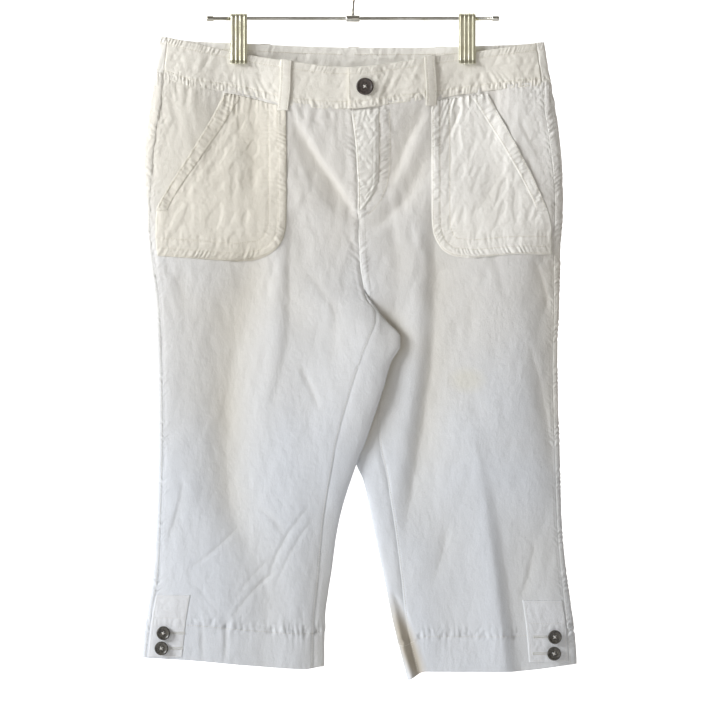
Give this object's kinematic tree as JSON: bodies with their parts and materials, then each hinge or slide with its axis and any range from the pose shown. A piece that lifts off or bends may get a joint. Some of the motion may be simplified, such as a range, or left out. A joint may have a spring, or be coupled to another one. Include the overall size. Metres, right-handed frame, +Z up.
{
  "type": "capri pants on a clip hanger",
  "caption": "White cropped trousers with a button waistband, slanted patch pockets and buttoned hem tabs, hanging by the waist from a steel clip hanger.",
  "frame": {"origin": "the seat inside the top of the hanger's hook, where the rail carries it", "axes": "+Z up, the front of the garment faces -Y, +X towards the wearer's left"},
  "size_m": [0.5517, 0.0435, 0.9131],
  "materials": {
    "white_twill": "matt washed cotton twill, cool white",
    "band_twill": "matt washed cotton twill, slightly warmer white, topstitched",
    "dark_button": "dark horn-like resin with a satin gloss",
    "polished_steel": "polished plated steel"
  },
  "bodies": {
    "root": {"front_right": "white_twill", "front_left": "white_twill", "back_right": "white_twill", "back_left": "white_twill", "waistband_front_right": "band_twill", "waistband_front_left": "band_twill", "waistband_back": "band_twill", "fly": "white_twill", "pocket_right": "band_twill", "pocket_left": "band_twill", "pocket_mouth_right": "band_twill", "pocket_mouth_left": "band_twill", "belt_loop_front_right": "band_twill", "belt_loop_front_left": "band_twill", "belt_loop_back_right": "band_twill", "belt_loop_back_centre": "band_twill", "belt_loop_back_left": "band_twill", "hem_tab_right": "white_twill", "hem_tab_left": "white_twill", "waist_button": "dark_button", "hem_button_right_upper": "dark_button", "hem_button_right_lower": "dark_button", "hem_button_left_upper": "dark_button", "hem_button_left_lower": "dark_button", "hanger_bar": "polished_steel", "hanger_hook": "polished_steel", "clip_right": "polished_steel", "clip_left": "polished_steel"}
  },
  "joints": []
}
